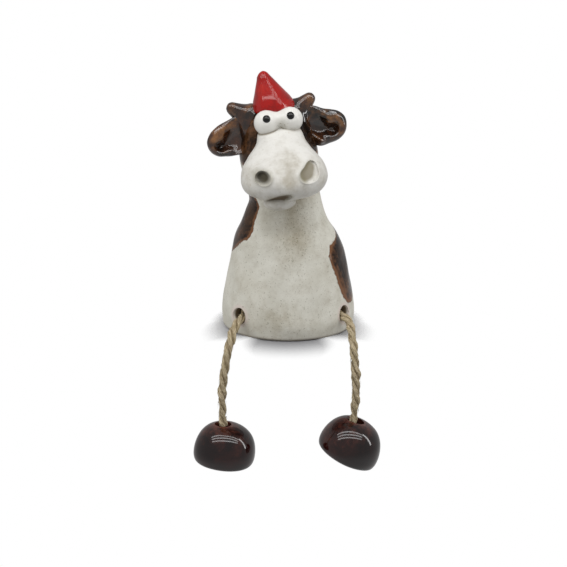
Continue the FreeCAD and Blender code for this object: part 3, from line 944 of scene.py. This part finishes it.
trough_depth = 0.55
ear_hollows = {"left": (-2.4, -3.2), "right": (2.2, -2.4)}
ear_folds = {"left": ((10.5, -8.5), (1.5, -10.0)), "right": ((-12.5, -0.5), (-2.6, -8.6))}
fold_height = 2.4
fold_width = 1.5
ear_unevenness = 0.25
ear_wave = 8.0 * mm
streak_wave = 3.2 * mm
# An ear is its section carried round its outline. The rim is let down at a trough, the thumb's hollow
# lies off the middle, and a fold stands up in it.
for number, (side, sign) in enumerate(zip(sides, (-1, 1))):
    share, depth = traced(ear_section, 90)
    turn = np.linspace(0, 360, 200, endpoint=False)
    angles, reaches = np.array(ear_outlines[side]).T
    reach = flow((turn - angles[0]) % 360 + angles[0], angles, reaches, first=0, last=0)
    theta = np.radians(turn)
    from_trough = theta - math.radians(ear_troughs[side])
    share = np.clip(share, 0, 1)[:, None]
    in_front = (np.arange(len(share)) <= np.argmax(share))[:, None]
    spread = np.where(in_front, share ** (1 + 0.9 * np.sin(from_trough) ** 2), share)
    lift = depth[:, None] * ear_thickness + 0 * theta
    lift *= np.where(lift < 0, 1 - trough_depth * np.clip(1.7 * np.cos(from_trough) - 0.35, 0, 1), 1)
    hollow = np.clip(1 - spread, 0, 1) * in_front
    over, down = ear_hollows[side]
    across = spread * reach * np.cos(theta) + over * hollow
    up = spread * reach * np.sin(theta) + down * hollow
    grid = np.stack([across, lift, up], axis=-1)
    first, second = np.array(ear_folds[side], float)
    line = second - first
    along = np.clip(((grid[..., ::2] - first) @ line) / (line @ line), 0, 1)
    off = np.linalg.norm(grid[..., ::2] - first - along[..., None] * line, axis=-1)
    grid[..., 1] -= fold_height * hump(off, 0, fold_width) * in_front * ramp(share, 1, 11 / 12)
    grid[..., 1] += ear_unevenness * lumps(grid * mm, ear_wave, 81 + number)
    place = np.array([sign * ear_spread, -ear_reach, ear_level])
    ear = skin(side + "_ear_paddle", [on_head(closed(grid) + place)])
    inside = from_head(places_of(ear.data)) - place
    forward = ramp(inside[:, 1], -1.6, -4.2)
    above = np.clip(inside[:, 2] / 10, -0.4, 1)
    streaks = lumps(inside * [0.3, 1, 1] * mm, streak_wave, 85 + number)
    paint(ear, thin=forward * (0.55 + 0.25 * above) + 0.4 * above + 0.28 * streaks * (0.4 + forward))
    wear(ear, brown_material)
    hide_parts(side + "_ear")
    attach(ear, "root")

# Muzzle
# The white face is a small bell of its own, laid on the front of the head. A finger pushed in the
# two nostrils, and a tool drew the slit of the mouth above the chin.
muzzle_half_width = 26.3
muzzle_height = 46.5
muzzle_reach = 53.0
muzzle_back = 8.0
muzzle_roll = 4.0
muzzle_unevenness = 0.35 * mm
muzzle_wave = 15.0 * mm
muzzle_profile = ((1, 0.29, 0.39), (0.97, 0.45, 0.47), (0.905, 0.52, 0.54), (0.8, 0.575, 0.63),
                  (0.71, 0.675, 0.72), (0.625, 0.805, 0.82), (0.54, 0.925, 0.91), (0.43, 0.99, 0.975),
                  (0.32, 1, 1), (0.22, 0.93, 0.975), (0.145, 0.77, 0.905), (0.105, 0.52, 0.8),
                  (0.095, 0.25, 0.68))
nostril_place = np.array([13.85, 20.9])
nostril_sizes = {"left": (4.4, 4.0), "right": (5.9, 4.5)}
nostril_point = (15.3, 23.6)
nostril_point_size = (4.0, 4.3)
nostril_point_slant = -14
nostril_join = 0.35
nostril_depth = 4.4
nostril_shallower = 0.8
nostril_lip = 0.35
nostril_swelling = 1.6
furrow_place = (0.5, 21)
furrow_size = (4.2, 9)
furrow_depth = 1.9
mouth_place = (-5.4, 6.6)
mouth_half = (8.2, 2.7)
mouth_slant = 16.0
mouth_depth = 3.4
dirt_place = (-7.9, 7.8)
dirt_half = (8.5, 3.2)
eye_radius = 7.7
eye_centres = {"left": np.array([-5.9, -19.5, 49.4]), "right": np.array([8.7, -19.5, 49.4])}
face_white = "#F0EEE8"
face_shade = "#B4AC9A"
face_tan = "#A8895F"
nostril_dark = "#4B4535"
nostril_pale = "#82785E"
mouth_brown = "#5C4C36"
face_relief = 0.12 * mm
muzzle_middle = np.array([0, 0, nostril_place[1]])


def on_muzzle(points):
    """Carries points in mm from the muzzle's own frame to the cow's, in metres."""
    return on_head((points - muzzle_middle) @ rotation(muzzle_roll, "Y").T + muzzle_middle)


def from_muzzle(places):
    """Points of the cow in the muzzle's own frame, in mm."""
    return (from_head(places) - muzzle_middle) @ rotation(muzzle_roll, "Y") + muzzle_middle


def oval_share(x, z, place, half, slant=0.0):
    """How far out of an oval a point is, from the front: its way out over the oval's, so 1 on the edge."""
    cosine = math.cos(math.radians(slant))
    sine = math.sin(math.radians(slant))
    along = cosine * (x - place[0]) + sine * (z - place[1])
    up = cosine * (z - place[1]) - sine * (x - place[0])
    return np.hypot(along / half[0], up / half[1])


def pushed_in(share):
    """A finger's dent as a share of its depth: 1 less the cube of the way out, to the power 0.6."""
    return np.clip(1 - share ** 3, 0, 1) ** 0.6


def nostril_shares(x, z):
    """How far out of the round left nostril and of the pear-shaped right one each point is."""
    left = oval_share(x, z, nostril_place * [-1, 1], nostril_sizes["left"])
    right = oval_share(x, z, nostril_place, nostril_sizes["right"])
    above = oval_share(x, z, nostril_point, nostril_point_size, nostril_point_slant)
    return left, -smoother(-right, -above, nostril_join)


def muzzle_dents(x, z):
    """How far back the muzzle's front is pushed, in mm: pits, furrow and slit, less a lip and a swelling."""
    left, right = nostril_shares(x, z)
    pits = np.maximum(pushed_in(left), nostril_shallower * pushed_in(right)) * nostril_depth
    lip = nostril_lip * hump(np.minimum(left, right), 1.13, 0.11)
    swelling = nostril_swelling * (hump(left, 0, 1.8) + hump(right, 0, 1.7))
    furrow = hump(x, furrow_place[0], furrow_size[0]) * hump(z, furrow_place[1], furrow_size[1])
    mouth = oval_share(x, z, mouth_place, mouth_half, mouth_slant)
    slit = mouth_depth * np.sqrt(np.clip(1 - mouth ** 2, 0, 1))
    return pits - lip - swelling + furrow_depth * furrow + slit


# Each level of the muzzle is an ellipse from its flat back to its profile. Its columns crowd to the front,
# which is then pushed in.
shares, widths, reaches = np.array(muzzle_profile)[::-1].T
arc_length = way_along(np.column_stack([shares, reaches]))
even = np.concatenate([np.linspace(0, 0.45, 90), np.linspace(0.45, 1, 120)[1:]]) * arc_length[-1]
level = flow(even, arc_length, shares) * muzzle_height
half_width = flow(even, arc_length, widths) * muzzle_half_width
front = flow(even, arc_length, reaches) * muzzle_reach
middle = -(muzzle_back + front) / 2
half_depth = (front - muzzle_back) / 2
s = np.linspace(-np.pi, np.pi, 420, endpoint=False)
turn = s - 0.5 * np.sin(s)
grid = np.stack([half_width[:, None] * np.sin(turn), middle[:, None] - half_depth[:, None] * np.cos(turn),
                 level[:, None] + 0 * turn], axis=-1)
grid[..., 1] += muzzle_dents(grid[..., 0], grid[..., 2]) * np.clip(np.cos(turn) * 3, 0, 1)
grid = kneaded(on_muzzle(grid), muzzle_unevenness, muzzle_wave, 17, clay_drop)
low_middle = grid[0].mean(axis=0)
high_middle = grid[-1].mean(axis=0)
low_cap = [low_middle + size * (grid[0] - low_middle) for size in (0, 0.6)]
high_cap = [high_middle + size * (grid[-1] - high_middle) for size in (0.6, 0)]
muzzle = skin("muzzle_face", [np.concatenate([low_cap, grid, high_cap])], sharp=70)
x, y, z = from_muzzle(places_of(muzzle.data)).T
left, right = nostril_shares(x, z)
mouth = oval_share(x, z, mouth_place, mouth_half, mouth_slant)
above_mouth = oval_share(x, z, dirt_place, dirt_half, mouth_slant)
front_face = ramp(y, -20, -26)
far_front = ramp(y, -26, -30)
# Painted highlight: the lower right of the right nostril, where it catches the light, loses part of its
# painted shade.
catching = ramp(x - 0.35 * (z - 21), 12, 17)
# The right nostril's upper left wall, on its shaded side, gets painted shade.
lee = ramp(x - 0.4 * (z - 21), nostril_place[0] + 1, nostril_place[0] - 2) * far_front
# Grime and painted shade: a tan smudge with painted furrow shade down the ridge, painted shade low down, at
# the flanks and off the front, and a stain above the mouth.
ridge = hump(x, 1.5, 6.5) * ramp(z, 39, 27) * ramp(z, 11, 18)
flanks = ramp(np.abs(x), 13, 22) * ramp(z, 34, 24)
grime = 0.15 + 0.68 * ridge + 0.1 * ramp(z, 22, 12) + 0.4 * hump(above_mouth, 0.3, 0.7) + 0.35 * flanks
in_head = from_head(places_of(muzzle.data))
from_eyes = np.min([np.linalg.norm(in_head - eye_centres[side], axis=1) for side in sides], axis=0)
# An olive stain with painted shade on the face where the eye balls sit on it.
crease = hump(from_eyes, eye_radius + 0.35, 0.75) * np.clip((8 - in_head[:, 0]) / 6, 0.35, 1)
paint(muzzle, crease=crease,
      dark_pit=front_face * ramp(left, 1.15, 0.15),
      pale_pit=far_front * ramp(right, 1.15, 0.15) * (1 - 0.55 * catching),
      mouth=front_face * ramp(mouth, 1.35, 0.35),
      smoke=front_face * (hump(left, 1, 0.45) + 2.0 * lee * hump(right, 0.8, 0.3)),
      grime=np.clip(grime, 0, 1) * front_face + 0.5 * (1 - front_face))


def face_clay():
    """White slip over the clay, with grime and painted shade: greyer low down, painted shade in both
    nostrils, greenish in the pale one, and a smudge with painted shade at the mouth.
    """
    material, tree, shader = new_material("face_clay", 0.36, 0.35)
    specks = add(tree, "Group", {"Amount": 0.0}, node_tree=specks_group).outputs
    washed = stirred(tree, attribute(tree, "grime"), noise(tree, 130.0, 4.0, 0.65), 1.6)
    base = tint(tree, rising(tree, washed, 0.0, 1.3), colour(face_white), colour(face_shade))
    base = stain(tree, base, specks["Coarse"], 0.4, face_tan)
    base = stain(tree, base, specks["Fine"], 0.4, speck_olive)
    # An olive smudge with painted shade round the left nostril, and painted shade on the right nostril's
    # upper left wall.
    base = stain(tree, base, attribute(tree, "smoke"), 0.45, speck_olive)
    base = stain(tree, base, attribute(tree, "crease"), 0.85, speck_dark)
    # Greenish painted shade in the shallow right nostril.
    base = stain(tree, base, rising(tree, attribute(tree, "pale_pit"), 0.1, 0.5), 0.85, nostril_pale)
    # Painted shade in the deep left nostril.
    base = tint(tree, rising(tree, attribute(tree, "dark_pit"), 0.05, 0.6), base, colour(nostril_dark))
    # An olive smear at the mouth, and in its slit a darker brown of smudge and painted shade.
    smear = stirred(tree, attribute(tree, "mouth"), noise(tree, 500.0), 0.5)
    base = stain(tree, base, rising(tree, smear, 0.0, 0.5), 0.6, speck_olive)
    base = tint(tree, rising(tree, smear, 0.3, 0.8), base, colour(mouth_brown))
    join(tree, shader, Base_Color=base)
    raise_bumps(tree, shader, noise(tree, 420.0, 4.0, 0.6), face_relief)
    return material


face_material = face_clay()
wear(muzzle, face_material)
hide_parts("muzzle")
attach(muzzle, "root")

# Chin
# The lower lip: a small pad of the muzzle's clay, pressed on under the slit of the mouth and covered
# with the same white slip.
chin_place = np.array([-3.8, -34.5, 2.9])
chin_half = np.array([10.0, 8.6, 5.1])
chin_unevenness = 0.03
chin_wave = 9.0 * mm
polar = np.linspace(0, np.pi, 70)
grid = spun(np.sin(polar), np.cos(polar), 120) * chin_half + chin_place
uneven = chin_unevenness * lumps(grid * mm, chin_wave, 91) - 0.02
grid = closed(grid + (grid - chin_place) * uneven[..., None])
chin = skin("chin_pad", [on_muzzle(grid)])
height = from_muzzle(places_of(chin.data))[:, 2]
# The chin's top, under the slit, takes the mouth's smudge and painted shade, and the whole pad the grime and
# painted shade of the low face.
paint(chin, mouth=ramp(height, 6.5, 8.5), grime=0.55, dark_pit=0, pale_pit=0, smoke=0, crease=0)
wear(chin, face_material)
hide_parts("chin")
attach(chin, "root")

# Eyes
# Two balls of clay rolled together side by side and set on top of the face, under the hat. Their
# glaze is a smooth white, olive where the balls melt together and, with painted shade, low down by the face.
eye_join = 6.5
saddle_middle = 2.9
saddle_width = 3.4
eye_white = "#F7F5EF"
eye_relief = 0.3 * mm


def eye_surface(rays, centre, other):
    """Where rays from one ball's centre leave the two balls melted together, by halving the reach 24 times.

    The two are melted by a smooth union, and cut at the plane midway between them.
    """
    low = np.full(rays.shape[:-1], 0.3 * eye_radius)
    high = np.full(rays.shape[:-1], 1.5 * eye_radius)
    for _ in range(24):
        reach = (low + high) / 2
        place = centre + rays * reach[..., None]
        own = np.linalg.norm(place - centre, axis=-1) - eye_radius
        next_one = np.linalg.norm(place - other, axis=-1) - eye_radius
        blend = np.clip(0.5 + 0.5 * (next_one - own) / eye_join, 0, 1)
        melted = next_one + (own - next_one) * blend - eye_join * blend * (1 - blend)
        beyond = (place - (centre + other) / 2) @ (other - centre) / np.linalg.norm(other - centre)
        outside = np.maximum(melted, beyond) > 0
        high = np.where(outside, reach, high)
        low = np.where(outside, low, reach)
    return centre + rays * high[..., None]


def eye_glaze():
    """A bright smooth white, olive and speckled in the saddle between the two balls and, with painted shade,
    low down by the face.
    """
    material, tree, shader = new_material("eye_glaze", 0.25, 0.4)
    saddle = attribute(tree, "saddle")
    specks = add(tree, "Group", {"Amount": saddle}, node_tree=specks_group).outputs
    base = stain(tree, colour(eye_white), saddle, 0.45, speck_olive)
    base = stain(tree, base, specks["Fine"], saddle, speck_dark)
    join(tree, shader, Base_Color=base)
    raise_bumps(tree, shader, specks["Cloud"], eye_relief)
    return material


eye_material = eye_glaze()
polar = np.linspace(0, np.pi, 90)
rays = spun(np.sin(polar), np.cos(polar), 150) @ rotation(90, "Y").T
for side, across_from in (("left", "right"), ("right", "left")):
    grid = closed(eye_surface(rays, eye_centres[side], eye_centres[across_from]))
    eye = skin(side + "_eye_ball", [on_head(grid)], sharp=60)
    x, _, z = from_head(places_of(eye.data)).T
    saddle = hump(x, saddle_middle, saddle_width) * ramp(z, 53, 48)
    # Olive stain and painted shade on the lower part of each ball, next to the face.
    underneath = ramp(z, 46.5, 43.5) * np.clip((x + 2) / 5, 0.25, 1)
    paint(eye, saddle=np.maximum(saddle, 0.8 * underneath))
    wear(eye, eye_material)
    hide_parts(side + "_eye")
    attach(eye, "root")

# Pupils
# Two small beads of clay, one pressed on the front of each ball a little above its middle, so that
# the cow looks up. They are glazed a gloss black.
pupil_radius = 2.45
pupil_rise = 1.0
pupil_look = math.radians(28)
pupil_black = "#050505"
pupil_grey = "#161514"
pupil_relief = 0.15 * mm


def pupil_glaze():
    """Gloss black with a breath of grey where the glaze crawled."""
    material, tree, shader = new_material("pupil_glaze", 0.08)
    crawled = rising(tree, noise(tree, 500.0), 0.5, 0.75)
    join(tree, shader, Base_Color=tint(tree, crawled, colour(pupil_black), colour(pupil_grey)))
    raise_bumps(tree, shader, noise(tree, 300.0), pupil_relief)
    return material


pupil_material = pupil_glaze()
polar = np.linspace(0, np.pi, 40)
look = np.array([0, -math.cos(pupil_look), math.sin(pupil_look)])
for side in sides:
    grid = spun(pupil_radius * np.sin(polar), 2 * pupil_rise * np.cos(polar), 64) * [1.0, 1.06, 1.0]
    seat = eye_centres[side] + look * (eye_radius - pupil_rise)
    pupil = skin(side + "_pupil_bead", [on_head(aimed(grid, look) + seat)])
    wear(pupil, pupil_material)
    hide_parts(side + "_pupil")
    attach(pupil, "root")

# Hat
# A leaning cone with a round tip, pinched out of clay, glazed a bright glossy red and stuck on the
# crown so that its hem rests on the two eye balls.
hat_radius = 13.3
hat_height = 24.8
hat_place = np.array([0.6, -3.0, 54.0])
hat_shift = 3.6
hat_ridges = (17, -33)
hat_ridge_spread = 14
hat_pinch = 0.055
hem_swelling = 0.5
hat_unevenness = 0.15
hat_wave = 24.0 * mm
hat_columns = 200
hat_profile = ((0, 0, 0), (0, 0.5, 0), (0, 0.86, 0), (0.015, 0.965, 0), (0.06, 1, 0.01), (0.14, 0.985, 0.02),
               (0.28, 0.89, 0.14), (0.44, 0.725, 0.36), (0.62, 0.545, 0.62), (0.78, 0.385, 0.84),
               (0.88, 0.285, 1), (0.95, 0.185, 1), (0.985, 0.09, 1), (1, 0, 1))
hat_red = "#AC110C"
hat_dark = "#8E0D09"
hat_bright = "#C22A1E"


def hat_glaze():
    """Bright red, darker where it pools and a little orange where it breaks."""
    material, tree, shader = new_material("red_glaze", 0.14)
    cloud = noise(tree, 90.0, 4.0, 0.6, distortion=0.5)
    base = tint(tree, rising(tree, cloud, 0.3, 0.5), colour(hat_dark), colour(hat_red))
    base = tint(tree, rising(tree, cloud, 0.55, 0.8), base, colour(hat_bright))
    base = stain(tree, base, rising(tree, noise(tree, 1300.0, 2.0, 0.5), 0.68, 0.75), 0.4, hat_dark)
    join(tree, shader, Base_Color=base)
    return material


# The hat is its profile turned about Z, drawn out along two ridges and sheared aside towards its tip.
share, radius, shift = traced(hat_profile, 130)
grid = spun(np.maximum(radius, 0) * hat_radius, share * hat_height, hat_columns)
azimuth = np.linspace(0, 2 * np.pi, hat_columns, endpoint=False)
between_ends = (ramp(share, 0, 1 / 6) * ramp(share, 1, 7 / 8))[:, None]
for ridge in hat_ridges:
    off = (np.degrees(azimuth) - ridge + 180) % 360 - 180
    grid[..., :2] *= (1 + hat_pinch * hump(off, 0, hat_ridge_spread) * between_ends)[..., None]
grid[..., 0] -= (shift * hat_shift)[:, None]
grid[..., 1] -= hem_swelling * hump(np.sin(azimuth / 2 - 0.1), 0, 0.12) * hump(share, 0.05, 0.07)[:, None]
dents = hat_unevenness * (lumps(grid * mm, hat_wave, 23) - clay_drop) * np.clip(radius, 0, 1)[:, None]
grid = grid + spun(1 + 0 * share, 0 * share, hat_columns) * dents[..., None]
grid[0] = 0
grid[-1] = grid[-1].mean(axis=0)
hat = skin("hat_cone", [on_head(grid + hat_place)])
wear(hat, hat_glaze())
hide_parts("hat")
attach(hat, "root")

# Floor
# A small pale shelf without thickness. It ends just in front of the cow's foot, so that the legs hang
# past it, and goes on a little between the ropes to keep the foot's shadow. Next to the foot its colour
# is a painted grey shadow, darker in front, and away from the foot it fades out to nothing.
floor_half = 0.1
floor_edge = -42.2 * mm
bay_half_width = 31 * mm
bay_depth = 41 * mm
bay_middle = -40 * mm
side_grey = (0.68, 0.68, 0.69, 1)
front_grey = (0.25, 0.25, 0.26, 1)
shade_width = 9 * mm
shade_forward = 26 * mm
edge_fade = 19 * mm
spread = np.linspace(-floor_half, floor_half, 301)
bay = bay_middle - bay_depth * np.sqrt(np.clip(1 - (spread / bay_half_width) ** 2, 0, 1))
front_line = np.minimum(floor_edge, np.where(np.abs(spread) < bay_half_width, bay, floor_edge))
floor_rows = np.stack([np.column_stack([spread, front_line, 0 * spread]),
                       np.column_stack([spread, 0 * spread + floor_half, 0 * spread])])
count = len(spread)
near = np.arange(count - 1)
floor_faces = np.column_stack([near, near + 1, near + 1 + count, near + count])
floor_mesh = bpy.data.meshes.new("shelf")
floor_mesh.from_pydata(floor_rows.reshape(-1, 3).tolist(), [], floor_faces.tolist())
shelf = bpy.data.objects.new("shelf", floor_mesh)
bpy.context.collection.objects.link(shelf)
material, tree, shader = new_material("white_shelf", 0.9, 0.0)
here = add(tree, "TexCoord").outputs["Object"]
apart = add(tree, "SeparateXYZ", {0: here}).outputs
flat = add(tree, "VectorMath", {0: here}, operation="LENGTH").outputs["Value"]
ahead = calc(tree, "MULTIPLY", apart["Y"], -1.0)
in_front = calc(tree, "MAXIMUM", calc(tree, "DIVIDE", ahead, flat), 0.0)
reach = calc(tree, "MULTIPLY_ADD", in_front, shade_forward, shade_width)
from_foot = calc(tree, "DIVIDE", calc(tree, "SUBTRACT", flat, foot_radius), reach)
across = calc(tree, "DIVIDE", apart["X"], bay_half_width)
along = calc(tree, "DIVIDE", calc(tree, "SUBTRACT", bay_middle, apart["Y"]), bay_depth)
along = calc(tree, "MAXIMUM", along, 0.0)
in_bay = calc(tree, "SQRT", calc(tree, "MULTIPLY_ADD", across, across, calc(tree, "MULTIPLY", along, along)))
near_edge = rising(tree, ahead, -floor_edge - edge_fade, -floor_edge)
at_rim = calc(tree, "MINIMUM", near_edge, rising(tree, in_bay, 0.5, 1.0))
gone = calc(tree, "MAXIMUM", rising(tree, from_foot, -0.12, 1.0), at_rim)
# Painted shadow: grey next to the foot, darker in front of it.
join(tree, shader, Base_Color=tint(tree, in_front, side_grey, front_grey))
nothing = add(tree, "BsdfTransparent").outputs[0]
faded = add(tree, "MixShader", {0: gone, 1: shader.outputs[0], 2: nothing}).outputs[0]
tree.links.new(faded, tree.nodes["Material Output"].inputs["Surface"])
shelf.data.materials.append(material)

# Light
# A white studio: soft light from all round, three long strip boxes above the front that draw the thin
# lines on the glaze, a broad box at the left that leaves no glint, and a narrow one at the right.
ambient = 0.34
strip_places = {"strip_near": (0.0, -0.69, 0.98), "strip_middle": (0.0, -0.48, 1.1),
                "strip_far": (0.0, -0.25, 1.17)}
strip_size = (2.2, 0.08)
strip_watts = 3.2
light_aim = Vector((0, 0, 0.03))
world = bpy.data.worlds.new("studio")
bpy.context.scene.world = world
world.use_nodes = True
tree = world.node_tree
rays = add(tree, "LightPath").outputs
seen = calc(tree, "MAXIMUM", rays["Is Camera Ray"], rays["Is Transmission Ray"])
up = add(tree, "SeparateXYZ", {0: add(tree, "TexCoord").outputs["Generated"]}).outputs["Z"]
down = rising(tree, calc(tree, "MULTIPLY", up, -1.0), 0.1, 0.6)
mirrored = calc(tree, "MULTIPLY", rays["Is Glossy Ray"], calc(tree, "MULTIPLY_ADD", down, 0.3, 0.12))
white = calc(tree, "MAXIMUM", seen, mirrored)
strength = add(tree, "MapRange", {0: white, 3: ambient, 4: 1.0}).outputs[0]
background = tree.nodes["Background"]
background.inputs["Color"].default_value = (1, 1, 1, 1)
tree.links.new(strength, background.inputs["Strength"])


def box_light(name, place, size, watts, glints=True):
    """A rectangular soft box, so wide and so high, that faces the cow."""
    light = bpy.data.lights.new(name, "AREA")
    light.shape = "RECTANGLE"
    light.size, light.size_y = size
    light.energy = watts
    lamp = bpy.data.objects.new(name, light)
    lamp.visible_glossy = glints
    lamp.location = place
    lamp.rotation_euler = (Vector(place) - light_aim).to_track_quat("Z", "Y").to_euler()
    bpy.context.collection.objects.link(lamp)


for name, place in strip_places.items():
    box_light(name, place, strip_size, strip_watts)
box_light("broad_left", (-1.1, -0.5, 0.5), (0.5, 0.9), 3.0, glints=False)
box_light("narrow_right", (1.05, -0.15, 0.5), (0.12, 0.9), 2.6)
